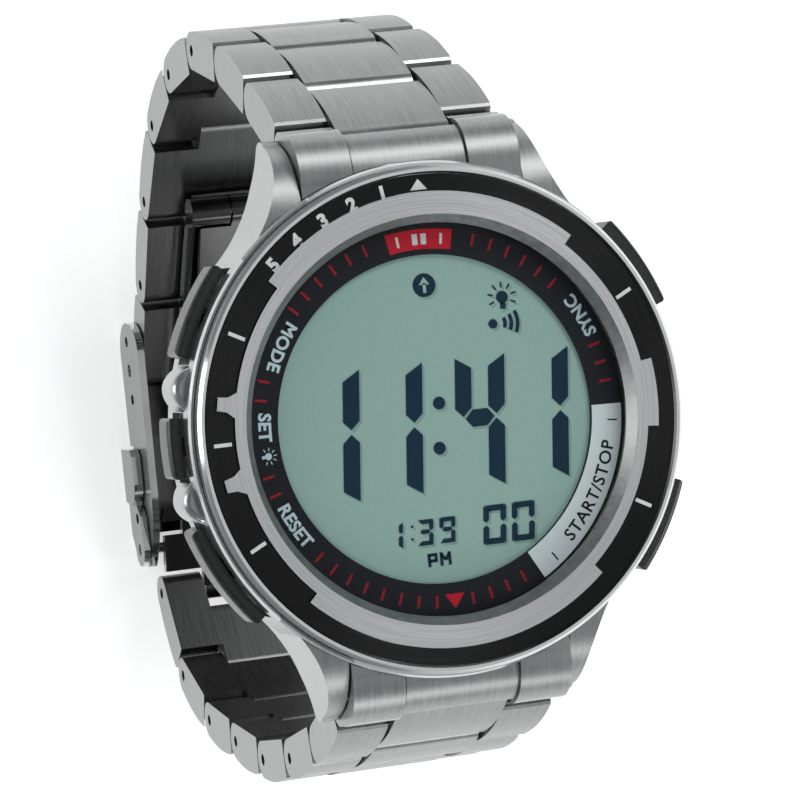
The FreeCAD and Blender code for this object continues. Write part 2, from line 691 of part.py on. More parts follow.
def blade_inner(end, link_half_w):
    """Blade between the knuckle and the last lower link: narrow, then as wide as the link."""
    split = link_half_w * CENTRE_SHARE - 2 * GROOVE
    start = (HINGE_1[0], HINGE_1[1] + BLADE_OFFSET)
    top_end = (end[0] + 0.4, end[1] + BARREL_R - BLADE_T / 2)
    line = strip(start, top_end, INNER_SAG, BLADE_T)
    narrow = side_prism(line, -BLADE_NARROW, BLADE_NARROW)
    wide_zone = box((-BLADE_WIDE, BLADE_WIDE), (end[0] + END_R + 0.5, BLADE_WIDE_Y), (0, 30))
    wide = side_prism(line, -BLADE_WIDE, BLADE_WIDE).common(wide_zone)
    notches = []
    for side in (1, -1):
        x = sorted((side * 7.4, side * 12.0))
        notches.append(box(x, (BLADE_WIDE_Y - 3.2, BLADE_WIDE_Y - 1.6), (0, 30)))
    wide = wide.cut(notches[0].fuse(notches[1]))
    knuckle = across(KNUCKLE_R, KNUCKLE_HALF, *HINGE_1)
    barrel = across(BARREL_R, split, *end)
    clear = across(KNUCKLE_R + 0.25, 20, *HINGE_1, inner=KNUCKLE_HALF)
    body = union([narrow, wide, barrel, knuckle]).cut(clear)
    return body.cut(across(RUN_R, 20, *HINGE_1)).removeSplitter()


def clasp_parts(upper_end, lower_end, lower_half_w):
    """Cover, flap, blades and their pins."""
    save("clasp_cover", clasp_cover(*upper_end))
    save("safety_flap", safety_flap())
    save("blade_outer", blade_outer())
    save("blade_inner", blade_inner(lower_end, lower_half_w))
    end_bar = across(BAR_R, COVER_HALF_W - 0.3, *upper_end)
    hinge_pin = across(PIN_R, FLAP_HALF_W - 0.15, *HINGE_0)
    save("clasp_pins", Part.makeCompound([end_bar, hinge_pin]))
    save("blade_pin", across(PIN_R, BLADE_HALF_W, *HINGE_1))


def main():
    save("case_body", case_body())
    bezel_parts()
    window_parts()
    module_parts()
    case_back()
    pusher_parts()
    upper = stations(UPPER_START, UPPER_HEADINGS, 1)
    lower = stations(LOWER_START, LOWER_HEADINGS, -1)
    save("end_link_upper", end_link(upper[0]))
    save("end_link_lower", end_link(lower[0]))
    bars = []
    for sign in (1, -1):
        bars.append(across(PIN_R, LUG_BAR_HALF, sign * LUG_BAR_Y, level(LUG_BAR_Z)))
    for start in (UPPER_START, LOWER_START):
        bars.append(across(PIN_R, HALF_W0 - PIN_INSET, *start))
    save("lug_bars_and_pins", Part.makeCompound(bars))
    chain("upper", upper, UPPER_RIVETED, True)
    chain("lower", lower, LOWER_RIVETED, False)
    upper_end = upper[-1].at(PITCH, 0)
    lower_end = lower[-1].at(PITCH, 0)
    lower_half_w = HALF_W0 - TAPER * len(lower)
    clasp_parts(upper_end, lower_end, lower_half_w)


main()
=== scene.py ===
import json
import math
import bpy
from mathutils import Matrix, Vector


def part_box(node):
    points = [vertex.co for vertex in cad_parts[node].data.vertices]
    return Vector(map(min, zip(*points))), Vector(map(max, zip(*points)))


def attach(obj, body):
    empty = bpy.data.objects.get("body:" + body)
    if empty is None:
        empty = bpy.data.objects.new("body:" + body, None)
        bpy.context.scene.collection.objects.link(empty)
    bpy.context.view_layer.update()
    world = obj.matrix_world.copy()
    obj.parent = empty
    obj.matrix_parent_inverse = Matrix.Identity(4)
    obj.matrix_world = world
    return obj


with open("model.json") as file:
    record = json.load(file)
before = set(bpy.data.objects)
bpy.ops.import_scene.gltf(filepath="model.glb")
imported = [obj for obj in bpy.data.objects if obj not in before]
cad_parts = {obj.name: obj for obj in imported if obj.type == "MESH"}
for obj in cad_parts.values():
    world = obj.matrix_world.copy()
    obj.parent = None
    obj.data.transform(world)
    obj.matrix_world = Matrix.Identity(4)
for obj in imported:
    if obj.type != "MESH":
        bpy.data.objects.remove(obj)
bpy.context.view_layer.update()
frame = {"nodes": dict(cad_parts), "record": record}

# Looks for the digital countdown watch: metal finishes, dial printing, display
# segments, light and camera. Lengths are metres; MM turns millimetres into them.
MM = 0.001
nodes = frame["nodes"]


# Materials ------------------------------------------------------------------------

class Finish:
    """A Principled material and short ways to build its node tree."""

    def __init__(self, name, **sockets):
        self.material = bpy.data.materials.new(name)
        self.material.use_nodes = True
        self.tree = self.material.node_tree
        self.shader = self.tree.nodes["Principled BSDF"]
        self.coords = self.tree.nodes.new("ShaderNodeTexCoord").outputs["Object"]
        for socket, value in sockets.items():
            self.shader.inputs[socket.replace("_", " ")].default_value = value

    def link(self, output, node, socket):
        self.tree.links.new(output, node.inputs[socket])

    def noise(self, scale, detail=3.0, rough=0.5):
        """Noise whose scale is given per axis, in features per metre."""
        stretch = self.tree.nodes.new("ShaderNodeMapping")
        stretch.inputs["Scale"].default_value = scale
        self.link(self.coords, stretch, "Vector")
        node = self.tree.nodes.new("ShaderNodeTexNoise")
        node.inputs["Scale"].default_value = 1.0
        node.inputs["Detail"].default_value = detail
        node.inputs["Roughness"].default_value = rough
        self.link(stretch.outputs["Vector"], node, "Vector")
        return node.outputs["Fac"]

    def ring_noise(self, across, along, detail=3.0):
        """Noise streaks that run round the dial's axis."""
        split = self.tree.nodes.new("ShaderNodeSeparateXYZ")
        self.link(self.coords, split, "Vector")
        flat = self.tree.nodes.new("ShaderNodeCombineXYZ")
        self.link(split.outputs["X"], flat, "X")
        self.link(split.outputs["Y"], flat, "Y")
        size = self.tree.nodes.new("ShaderNodeVectorMath")
        size.operation = "LENGTH"
        self.link(flat.outputs["Vector"], size, 0)
        unit = self.tree.nodes.new("ShaderNodeVectorMath")
        unit.operation = "NORMALIZE"
        self.link(flat.outputs["Vector"], unit, 0)
        turn = self.tree.nodes.new("ShaderNodeVectorMath")
        turn.operation = "SCALE"
        turn.inputs["Scale"].default_value = along
        self.link(unit.outputs["Vector"], turn, 0)
        parts = self.tree.nodes.new("ShaderNodeSeparateXYZ")
        self.link(turn.outputs["Vector"], parts, "Vector")
        radius = self.tree.nodes.new("ShaderNodeMath")
        radius.operation = "MULTIPLY"
        radius.inputs[1].default_value = across
        self.link(size.outputs["Value"], radius, 0)
        joined = self.tree.nodes.new("ShaderNodeCombineXYZ")
        self.link(parts.outputs["X"], joined, "X")
        self.link(parts.outputs["Y"], joined, "Y")
        self.link(radius.outputs["Value"], joined, "Z")
        node = self.tree.nodes.new("ShaderNodeTexNoise")
        node.inputs["Scale"].default_value = 1.0
        node.inputs["Detail"].default_value = detail
        self.link(joined.outputs["Vector"], node, "Vector")
        return node.outputs["Fac"]

    def ramp(self, fac, stops):
        """Colour ramp from (position, grey or colour) stops."""
        node = self.tree.nodes.new("ShaderNodeValToRGB")
        band = node.color_ramp
        while len(band.elements) < len(stops):
            band.elements.new(0.5)
        for element, (place, tone) in zip(band.elements, stops):
            element.position = place
            rgb = tone if isinstance(tone, tuple) else (tone, tone, tone)
            element.color = (*rgb, 1.0)
        self.link(fac, node, "Fac")
        return node.outputs["Color"]

    def tone(self, fac, dark, light, low=0.35, high=0.65):
        self.link(self.ramp(fac, [(low, dark), (high, light)]), self.shader, "Base Color")

    def roughness(self, fac, smooth, rough, low=0.3, high=0.7):
        span = self.tree.nodes.new("ShaderNodeMapRange")
        span.inputs["From Min"].default_value = low
        span.inputs["From Max"].default_value = high
        span.inputs["To Min"].default_value = smooth
        span.inputs["To Max"].default_value = rough
        self.link(fac, span, "Value")
        self.link(span.outputs["Result"], self.shader, "Roughness")

    def bump(self, fac, strength, distance=0.02 * MM):
        node = self.tree.nodes.new("ShaderNodeBump")
        node.inputs["Strength"].default_value = strength
        node.inputs["Distance"].default_value = distance
        self.link(fac, node, "Height")
        self.link(node.outputs["Normal"], self.shader, "Normal")

    def round_tangent(self):
        """Brushing that runs round the dial's axis."""
        node = self.tree.nodes.new("ShaderNodeTangent")
        node.direction_type = "RADIAL"
        node.axis = "Z"
        self.link(node.outputs["Tangent"], self.shader, "Tangent")


def brushed(name, streaks, dark, light, smooth, rough, strength=0.25):
    """Steel brushed in one direction; the streaks are narrow along the large scales."""
    finish = Finish(name, Metallic=1.0)
    fac = finish.noise(streaks, 4.0, 0.6)
    finish.tone(fac, dark, light)
    finish.roughness(fac, smooth, rough)
    finish.bump(fac, strength)
    return finish.material


def polished(name, dark, light, smooth, rough):
    """Bright steel with faint handling marks."""
    finish = Finish(name, Metallic=1.0)
    fac = finish.noise(HANDLING_MARKS, 5.0, 0.6)
    finish.tone(fac, dark, light)
    finish.roughness(fac, smooth, rough)
    return finish.material


def moulded(name, dark, light, smooth, rough, grain=2500.0, strength=0.1, **sockets):
    """Paint, plastic or rubber with a fine grain."""
    finish = Finish(name, **sockets)
    fac = finish.noise((grain, grain, grain), 3.0, 0.6)
    finish.tone(fac, dark, light)
    finish.roughness(fac, smooth, rough)
    if strength:
        finish.bump(fac, strength)
    return finish.material


def printed(name, dark, light, smooth=0.5, rough=0.56, grain=4000.0):
    """Smooth printed surface with little gloss."""
    return moulded(name, dark, light, smooth, rough, grain, 0.0, Specular_IOR_Level=PRINT_GLOSS)


HANDLING_MARKS = (220.0, 220.0, 220.0)
PRINT_GLOSS = 0.12
LENGTHWISE = (7000.0, 160.0, 160.0)    # streaks along the bracelet
EDGEWISE = (190.0, 150.0, 4800.0)      # streaks on a side face, along 12 to 6
link_top = brushed("link brushed", LENGTHWISE, 0.23, 0.32, 0.30, 0.37, 0.06)
link_side = brushed("link side brushed", EDGEWISE, 0.28, 0.36, 0.28, 0.36, 0.05)
# The links' inner faces are the same steel painted darker: painted shade inside the bracelet's
# loop.
link_inner_painted_shade = brushed("link inner face painted shade", LENGTHWISE, 0.16, 0.20, 0.26, 0.32, 0.03)
link_edge = polished("link polished edge", 0.30, 0.37, 0.20, 0.28)
lug_brushed = brushed("case brushed", (6000.0, 130.0, 700.0), 0.30, 0.38, 0.36, 0.44, 0.04)
case_side = brushed("case side satin", (500.0, 500.0, 5000.0), 0.38, 0.46, 0.25, 0.33, 0.05)
case_bright = polished("case polished", 0.54, 0.62, 0.12, 0.20)
case_inside = brushed("case turned inside", (1500.0, 1500.0, 1500.0), 0.30, 0.38, 0.35, 0.5)
clasp_side = brushed("clasp side satin", EDGEWISE, 0.24, 0.32, 0.26, 0.34, 0.05)
clasp_out = brushed("clasp outer brushed", LENGTHWISE, 0.32, 0.42, 0.28, 0.36, 0.06)
# The clasp's inner faces are the same steel painted darker: painted shade inside the clasp.
clasp_inner_painted_shade = brushed("clasp inner face painted shade", LENGTHWISE, 0.14, 0.18, 0.28, 0.35, 0.03)
clasp_edge = polished("clasp polished edge", 0.60, 0.72, 0.06, 0.15)
# The blades' broad faces are painted very dark: painted shade inside the clasp.
blade_face_painted_shade = brushed("blade satin painted shade", (900.0, 90.0, 90.0), 0.070, 0.085, 0.20, 0.25, 0.02)
blade_edge = polished("blade edge", 0.40, 0.52, 0.10, 0.22)
pin_metal = polished("pin steel", 0.28, 0.40, 0.18, 0.32)
spring_metal = polished("spring steel", 0.45, 0.58, 0.18, 0.30)
brass = polished("buzzer brass", (0.60, 0.42, 0.16), (0.72, 0.54, 0.24), 0.22, 0.34)
rubber = moulded("seal rubber", 0.012, 0.022, 0.55, 0.7)
contact = moulded("contact rubber", (0.45, 0.40, 0.44), (0.56, 0.52, 0.55), 0.6, 0.7)
board_green = moulded("board lacquer", (0.015, 0.09, 0.04), (0.03, 0.14, 0.07), 0.25, 0.4)
module_black = moulded("module plastic", 0.02, 0.035, 0.45, 0.6)
backlight = moulded("backlight foil", (0.62, 0.68, 0.62), (0.72, 0.78, 0.70), 0.35, 0.5)
button_side = moulded("button black", 0.013, 0.024, 0.22, 0.34, 1800.0, 0.05)
# The right-hand buttons' outward faces are the same black plastic painted lighter: a painted sheen.
button_face_painted_sheen = moulded("button face painted sheen", 0.028, 0.032, 0.27, 0.30, 700.0, 0.0)

ring_steel = Finish("inner ring turned", Metallic=1.0, Anisotropic=0.75)
ring_fac = ring_steel.ring_noise(9000.0, 2.5, 4.0)
ring_steel.tone(ring_fac, 0.54, 0.68)
ring_steel.roughness(ring_fac, 0.18, 0.24)
ring_steel.bump(ring_fac, 0.03)
ring_steel.round_tangent()

rim_steel = Finish("bezel rim polished", Metallic=1.0)
rim_fac = rim_steel.ring_noise(5000.0, 1.5, 3.0)
rim_steel.tone(rim_fac, 0.62, 0.72)
rim_steel.roughness(rim_fac, 0.09, 0.17)

insert_black = Finish("insert brushed black", Metallic=1.0, Anisotropic=0.9)
insert_fac = insert_black.ring_noise(11000.0, 3.0, 5.0)
insert_black.tone(insert_fac, 0.022, 0.030)
insert_black.roughness(insert_fac, 0.22, 0.30)
insert_black.bump(insert_fac, 0.04)
insert_black.round_tangent()

back_steel = Finish("case back turned", Metallic=1.0, Anisotropic=0.5)
back_fac = back_steel.ring_noise(6000.0, 2.0, 4.0)
back_steel.tone(back_fac, 0.40, 0.50)
back_steel.roughness(back_fac, 0.24, 0.36)
back_steel.round_tangent()

dial_black = printed(
    "dial matt", (0.013, 0.015, 0.019), (0.015, 0.018, 0.022), 0.44, 0.47, 3000.0)
screen = printed(
    "display reflector", (0.335, 0.520, 0.468), (0.360, 0.552, 0.498), 0.42, 0.50, 3500.0)
glass = Finish("crystal glass", Roughness=0.03, Alpha=0.045, IOR=1.45)
glass.tone(glass.noise((60.0, 60.0, 60.0)), (0.020, 0.026, 0.026), (0.030, 0.038, 0.038))

ink_white = printed("print white", (0.70, 0.72, 0.72), (0.76, 0.78, 0.78))
ink_pale = printed("print pale blue", (0.60, 0.78, 0.83), (0.66, 0.84, 0.88))
ink_label = printed("print label", (0.78, 0.88, 0.89), (0.82, 0.92, 0.93), grain=3000.0)
ink_dark = printed("print dark", (0.010, 0.016, 0.018), (0.014, 0.022, 0.024))
ink_red = printed("print red", (0.36, 0.014, 0.022), (0.42, 0.020, 0.030))
ink_bright_red = printed(
    "print bright red", (0.58, 0.012, 0.030), (0.64, 0.018, 0.040), 0.4, 0.46)
segment_ink = printed(
    "segments dark", (0.006, 0.030, 0.055), (0.008, 0.036, 0.064), 0.4, 0.46)
segment_shade = printed(
    "segments shade", (0.245, 0.385, 0.350), (0.270, 0.420, 0.385), 0.5, 0.6, 7000.0)
floor_paint = moulded(
    "floor paint", 0.86, 0.90, 0.6, 0.75, 40.0, 0.0,
    Emission_Color=(1.0, 1.0, 1.0, 1.0), Emission_Strength=0.5)


def dress(name, materials, choose=None):
    """Give a node its finishes; choose(normal, centre) picks one for each face."""
    mesh = nodes[name].data
    mesh.materials.clear()
    for material in materials:
        mesh.materials.append(material)
    for face in mesh.polygons:
        face.material_index = choose(face.normal, face.center) if choose else 0


def link_chooser(out):
    """Faces of a link whose outer side looks along out: 0 top, 1 side, 2 inner face in painted
    shade, 3 edge.
    """
    def choose(normal, centre):
        if abs(normal.x) > 0.85:
            return 1
        up = normal.dot(out)
        if up > 0.955:
            return 0
        if up < -0.8:
            return 2
        return 3
    return choose


LINK_FINISHES = [link_top, link_side, link_inner_painted_shade, link_edge]
pivots = {}
for joint in frame["record"]["behaviour"]["joints"]:
    if joint["type"] == "hinge":
        pivots[joint["name"]] = Vector(joint["pos_m"])


def dress_chain(prefix, count, last_pivot, sign):
    """Dress one half of the bracelet; sign is 1 for the upper half and -1 for the lower."""
    for number in range(1, count + 1):
        start = pivots[prefix + "_hinge_%d" % number]
        if number < count:
            end = pivots[prefix + "_hinge_%d" % (number + 1)]
        else:
            end = last_pivot
        along = (end - start).normalized()
        out = Vector((0.0, -sign * along.z, sign * along.y))
        name = prefix + "_link_%d" % number
        dress(name, LINK_FINISHES, link_chooser(out))
        pin = prefix + "_pin_%d" % number
        if pin in nodes:
            dress(pin, [pin_metal])


barrel_low, barrel_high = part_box("lower_pin_7")
lower_end = (barrel_low + barrel_high) / 2
dress_chain("upper", 8, pivots["cover_hinge"], 1)
dress_chain("lower", 7, lower_end, -1)

dial_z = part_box("bezel_insert")[1].z
CASE_BORE = 20.6 * MM       # faces nearer the axis than this, and more than
BORE_DEPTH = 2.0 * MM       # this far below the dial, are inside the case
GUARD_X = 24.4 * MM         # on the left, faces beyond this get the side's finish
LUG_X = 11.0 * MM           # upward faces beyond both of these
LUG_Y = 17.0 * MM           # are the tops of the lugs
RING_SLOPE = 20.2 * MM      # the inner ring's slope is within this radius
BUTTON_FACE = 26.5 * MM     # only the right-hand buttons reach beyond this radius
PLATE_X = 10.5 * MM         # the clasp's outer side faces are beyond this
CHANNEL_X = 9.9 * MM        # and its inner face is within this


def choose_case(normal, centre):
    """0 brushed tops, 1 satin sides, 2 polished bevels, 3 inside."""
    radius = math.hypot(centre.x, centre.y)
    if radius < CASE_BORE and centre.z < dial_z - BORE_DEPTH:
        return 3
    if abs(normal.z) < 0.2 or centre.x < -GUARD_X:
        return 1
    if normal.z > 0.2 and abs(centre.y) > LUG_Y and abs(centre.x) > LUG_X:
        return 0
    return 2


def choose_end_link(normal, centre):
    """0 brushed top, 1 sides, 2 underside in painted shade, 3 edges."""
    if abs(normal.x) > 0.9:
        return 1
    if normal.z > 0.35:
        return 0
    return 2 if normal.z < -0.5 else 3


dress("case_body", [lug_brushed, case_side, case_bright, case_inside], choose_case)
for name in ("end_link_upper", "end_link_lower"):
    dress(name, [lug_brushed, link_side, link_inner_painted_shade, link_edge], choose_end_link)
dress("bezel_ring", [rim_steel.material])


def choose_inner_ring(normal, centre):
    """0 turned top, 1 bright outer edges, 2 satin slope towards the crystal."""
    if normal.z > 0.95:
        return 0
    return 2 if math.hypot(centre.x, centre.y) < RING_SLOPE else 1


dress("bezel_inner_ring", [ring_steel.material, rim_steel.material, case_inside], choose_inner_ring)
dress("bezel_insert", [insert_black.material])
dress("crystal", [glass.material])
dress("dial_ring", [dial_black])
dress("lcd_panel", [screen])
dress("case_back", [back_steel.material])
for name, finish in (
    ("sealing_rings", rubber), ("backlight_panel", backlight), ("contact_strips", contact),
    ("module_frame", module_black), ("circuit_board", board_green), ("battery", spring_metal),
    ("battery_clip", spring_metal), ("buzzer_disc", brass), ("case_back_screws", pin_metal),
    ("lug_bars_and_pins", pin_metal), ("pusher_springs", spring_metal), ("clasp_pins", link_edge),
    ("blade_pin", link_edge),
):
    dress(name, [finish])


def choose_button(normal, centre):
    """1 on the outward face of a right-hand button, lighter as a painted sheen, 0 elsewhere."""
    outward = Vector((centre.x, centre.y, 0.0)).normalized()
    facing = normal.dot(outward) > 0.93
    return 1 if facing and math.hypot(centre.x, centre.y) > BUTTON_FACE else 0


for name in ("sync", "start", "reset", "set", "mode"):
    dress("pusher_" + name, [button_side, button_face_painted_sheen], choose_button)


def choose_cover(normal, centre):
    """0 outside, 1 side plate, 2 inside in painted shade, 3 edges."""
    if abs(normal.x) > 0.9:
        return 1 if normal.x * centre.x > 0 and abs(centre.x) > PLATE_X else 2
    if normal.z < -0.9:
        return 0
    if abs(centre.x) < CHANNEL_X and normal.z > 0.9:
        return 2
    return 3


def choose_flap(normal, centre):
    """0 outside, 1 sides, 3 edges."""
    if abs(normal.x) > 0.9:
        return 1
    return 0 if normal.z < -0.9 else 3


def choose_blade(normal, centre):
    """0 broad faces, darkened as painted shade, 1 edges."""
    return 0 if abs(normal.x) < 0.5 and abs(normal.z) > 0.5 else 1


CLASP_FINISHES = [clasp_out, clasp_side, clasp_inner_painted_shade, clasp_edge]
dress("clasp_cover", CLASP_FINISHES, choose_cover)
dress("safety_flap", CLASP_FINISHES, choose_flap)
dress("blade_outer", [blade_face_painted_shade, blade_edge], choose_blade)
dress("blade_inner", [blade_face_painted_shade, blade_edge], choose_blade)


# Printing and display segments ----------------------------------------------------

THIN = 0.02 * MM           # thickness of a layer of print
PRINT_GAP = 0.005 * MM     # keeps print off the face under it
LABEL_HEIGHT = 1.25        # letters of the button labels, in millimetres


def clock(radius, angle):
    """Point in the dial's plane, in millimetres, at a clock angle in degrees."""
    turn = math.radians(angle)
    return (radius * math.sin(turn), radius * math.cos(turn))


def place_on_case(name, mesh):
    """Put a mesh in the scene as a piece that rides on the case."""
    piece = bpy.data.objects.new(name, mesh)
    bpy.context.scene.collection.objects.link(piece)
    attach(piece, "case")


def sheet(name, outlines, z, thick, finish):
    """Thin raised print: each outline is a convex polygon in millimetres, with its foot at z."""
    points = []
    faces = []
    for outline in outlines:
        area = 0.0
        for (x0, y0), (x1, y1) in zip(outline, outline[1:] + outline[:1]):
            area += x0 * y1 - x1 * y0
        if area < 0:
            outline = outline[::-1]
        count = len(outline)
        first = len(points)
        points += [(x * MM, y * MM, z) for x, y in outline]
        points += [(x * MM, y * MM, z + thick) for x, y in outline]
        faces.append([first + count + k for k in range(count)])
        faces.append([first + k for k in reversed(range(count))])
        for k in range(count):
            after = (k + 1) % count
            faces.append([first + k, first + after, first + count + after, first + count + k])
    mesh = bpy.data.meshes.new(name)
    mesh.from_pydata(points, [], faces)
    mesh.materials.append(finish)
    place_on_case(name, mesh)


def bar(angle, inner, outer, width):
    """Radial stroke at a clock angle."""
    turn = math.radians(angle)
    side = (math.cos(turn) * width / 2, -math.sin(turn) * width / 2)
    corners = []
    for radius, sign in ((inner, -1), (outer, -1), (outer, 1), (inner, 1)):
        x, y = clock(radius, angle)
        corners.append((x + sign * side[0], y + sign * side[1]))
    return corners


def pointer(angle, base, tip, width):
    """Triangle whose point lies at radius tip."""
    turn = math.radians(angle)
    side = (math.cos(turn) * width / 2, -math.sin(turn) * width / 2)
    x, y = clock(base, angle)
    return [(x - side[0], y - side[1]), clock(tip, angle), (x + side[0], y + side[1])]


def shifted(shape, x, y):
    return [(px + x, py + y) for px, py in shape]


def arc_band(inner, outer, start, end, steps):
    """Ring sector as a row of quadrilaterals."""
    cells = []
    for k in range(steps):
        a = start + (end - start) * k / steps
        b = start + (end - start) * (k + 1) / steps
        cells.append([clock(inner, a), clock(outer, a), clock(outer, b), clock(inner, b)])
    return cells


def lettering(name, text, radius, angle, tops_in, z, finish, height=LABEL_HEIGHT,
              spread=1.03, weight=0.034):
    """Lettering bent round the dial at a clock angle, with the tops of the letters in or out.

    The height is in millimetres, spread spaces the letters and weight thickens them.
    """
    curve = bpy.data.curves.new(name, "FONT")
    curve.body = text
    curve.space_character = spread
    curve.offset = weight
    curve.resolution_u = 3
    draft = bpy.data.objects.new(name + " draft", curve)
    bpy.context.scene.collection.objects.link(draft)
    bpy.context.view_layer.update()
    graph = bpy.context.evaluated_depsgraph_get()
    flat = bpy.data.meshes.new_from_object(draft.evaluated_get(graph))
    bpy.data.objects.remove(draft)
    xs = [v.co.x for v in flat.vertices]
    ys = [v.co.y for v in flat.vertices]
    scale = height / max(ys)
    centre = (max(xs) + min(xs)) / 2
    sign = -1 if tops_in else 1
    for vertex in flat.vertices:
        x = (vertex.co.x - centre) * scale
        y = vertex.co.y * scale - height / 2
        place = clock(radius + sign * y, angle + sign * math.degrees(x / radius))
        vertex.co = (place[0] * MM, place[1] * MM, z)
    flat.name = name
    flat.materials.clear()
    flat.materials.append(finish)
    for face in flat.polygons:
        face.material_index = 0
    if flat.polygons[0].normal.z < 0:
        flat.flip_normals()
    place_on_case(name, flat)


BEZEL_TICK = (21.25, 23.0, 0.36)     # inner radius, outer radius and width
MINUTE_TICK = (17.15, 18.35, 0.24)
INDEX_INNER, INDEX_OUTER = 16.95, 18.0
LABEL_TICK = (17.6, 18.6, 0.14)

insert_z = dial_z + PRINT_GAP
ticks = [bar(angle, *BEZEL_TICK) for angle in (62.6, 118.0, 243.0, 270.0, 297.2)]
sheet("bezel_ticks", ticks, insert_z, THIN, ink_white)
triangle = pointer(359.6, 22.2, 23.25, 1.7)
sheet("bezel_triangle", [triangle], insert_z, THIN, ink_white)
for number, angle in ((5, 317.0), (4, 325.3), (3, 333.6), (2, 341.9), (1, 350.2)):
    lettering("bezel_number_%d" % number, str(number), 22.6, angle, False, insert_z + THIN,
              ink_white, height=1.35, spread=1.0, weight=0.05)

ring_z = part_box("dial_ring")[1].z + PRINT_GAP
# Clock angles of the first and last tick of each run, with a tick every six degrees.
TICK_RUNS = ((18, 48), (72, 84), (156, 174), (186, 228), (252, 258), (282, 288), (312, 342))
tick_angles = []
for first, last in TICK_RUNS:
    tick_angles += range(first, last + 1, 6)
minutes = [bar(angle, *MINUTE_TICK) for angle in tick_angles]
sheet("minute_ticks", minutes, ring_z, THIN, ink_red)
triangle = pointer(180.0, 17.0, 18.4, 2.0)
sheet("dial_triangle", [triangle], ring_z, THIN, ink_bright_red)
twelve = arc_band(16.5, 18.45, -10.5, 11.0, 12)
sheet("twelve_mark", twelve, ring_z, THIN, ink_bright_red)
index = [bar(angle, INDEX_INNER, INDEX_OUTER, 0.26) for angle in (-7.0, 7.5)]
index += [bar(angle, INDEX_INNER, INDEX_OUTER, 0.55) for angle in (-1.2, 1.7)]
sheet("twelve_index", index, ring_z + THIN, THIN, ink_white)
start_band = arc_band(16.0, 19.05, 91.5, 150.5, 24)
sheet("start_label", start_band, ring_z, THIN, ink_label)
label_ticks = [bar(angle, *LABEL_TICK) for angle in (96.5, 144.0)]
sheet("label_ticks", label_ticks, ring_z + THIN, THIN, ink_dark)
text_z = ring_z + 2 * THIN
lettering("text_start", "START/STOP", 17.75, 120.0, True, text_z, ink_dark,
          spread=1.08, weight=0.016)
for name, text, radius, angle in (
    ("text_mode", "MODE", 17.1, 300.0), ("text_set", "SET", 17.25, 273.6),
    ("text_reset", "RESET", 17.5, 240.5), ("text_sync", "SYNC", 17.9, 61.8),
):
    lettering(name, text, radius, angle, True, text_z, ink_pale)


def disc(x, y, radius, steps=20):
    turn = 2 * math.pi / steps
    corners = []
    for k in range(steps):
        corners.append((x + radius * math.cos(k * turn), y + radius * math.sin(k * turn)))
    return corners


def rays(x, y, inner, outer, width, angles):
    """Short strokes round a point."""
    return [shifted(bar(angle, inner, outer, width), x, y) for angle in angles]


def bulb(x, y, size, turn):
    """Lamp symbol: bulb, cap and rays, turned by an angle in degrees."""
    cap_x, cap_y = clock(0.75 * size, turn + 180)
    cap = shifted(bar(turn, -0.3 * size, 0.3 * size, 0.5 * size), x + cap_x, y + cap_y)
    angles = [turn + k * 36 for k in (-3.2, -2.1, -1, 0, 1, 2.1, 3.2)]
    lines = rays(x, y, 0.85 * size, 1.35 * size, 0.15 * size, angles)
    return [disc(x, y, 0.55 * size), cap] + lines


lamp = clock(17.25, 264.4)
sheet("lamp_symbol", bulb(lamp[0], lamp[1], 0.62, 84.0), ring_z, THIN, ink_pale)

LEAN = 0.095               # slope of the leaning digits
SEGMENTS = {"0": "abcdef", "1": "bc", "3": "abcdg", "4": "bcfg", "9": "abcdfg"}


def digit(char, right, low, width, height, thick, gap):
    """Seven-segment digit as polygons; right is its right edge at the display's middle."""
    left = right - width
    top = low + height
    middle = low + height * 0.53
    mitre = 0.62 * thick
    half = thick / 2
    bar_left = left + thick + gap * 0.5
    bar_right = right - thick - gap * 0.5
    shapes = {
        "a": [(left + gap, top), (right - gap, top),
              (right - thick, top - thick), (left + thick, top - thick)],
        "d": [(left + gap, low), (right - gap, low),
              (right - thick, low + thick), (left + thick, low + thick)],
        "g": [(left + half + gap, middle), (bar_left, middle + half),
              (bar_right, middle + half), (right - half - gap, middle),
              (bar_right, middle - half), (bar_left, middle - half)],
    }
    for upper_key, lower_key, outer, inner in (
        ("b", "c", right, right - thick), ("f", "e", left, left + thick),
    ):
        centre = (outer + inner) / 2
        shapes[upper_key] = [
            (outer, top - gap * 0.3), (outer, middle + mitre), (centre, middle + gap),
            (inner, middle + mitre), (inner, top - mitre - gap * 0.3)]
        shapes[lower_key] = [
            (outer, low + gap * 0.3), (outer, middle - mitre), (centre, middle - gap),
            (inner, middle - mitre), (inner, low + mitre + gap * 0.3)]
    return [[(x + LEAN * y, y) for x, y in shapes[key]] for key in SEGMENTS[char]]


def stroke(x0, y0, x1, y1, width):
    """Straight stroke between two points."""
    length = math.hypot(x1 - x0, y1 - y0)
    px = (y1 - y0) / length * width / 2
    py = -(x1 - x0) / length * width / 2
    return [(x0 - px, y0 - py), (x1 - px, y1 - py), (x1 + px, y1 + py), (x0 + px, y0 + py)]


def strokes_pm(x, y, height, width):
    """The letters P and M, centred on a point."""
    low = y - height / 2
    top = y + height / 2 - width / 2
    waist = y - 0.06 * height
    edge = top + width / 2
    left, bow = x - 1.02, x - 0.32
    first, valley, last = x + 0.22, x + 0.64, x + 1.06
    lines = (
        (left, low, left, edge), (left, top, bow, top), (left, waist, bow, waist),
        (bow, waist - width / 2, bow, edge), (first, low, first, edge),
        (last, low, last, edge), (first, top, valley, y - 0.1), (last, top, valley, y - 0.1),
    )
    return [stroke(*line, width) for line in lines]


def lean_disc(x, y, radius):
    return disc(x + LEAN * y, y, radius)


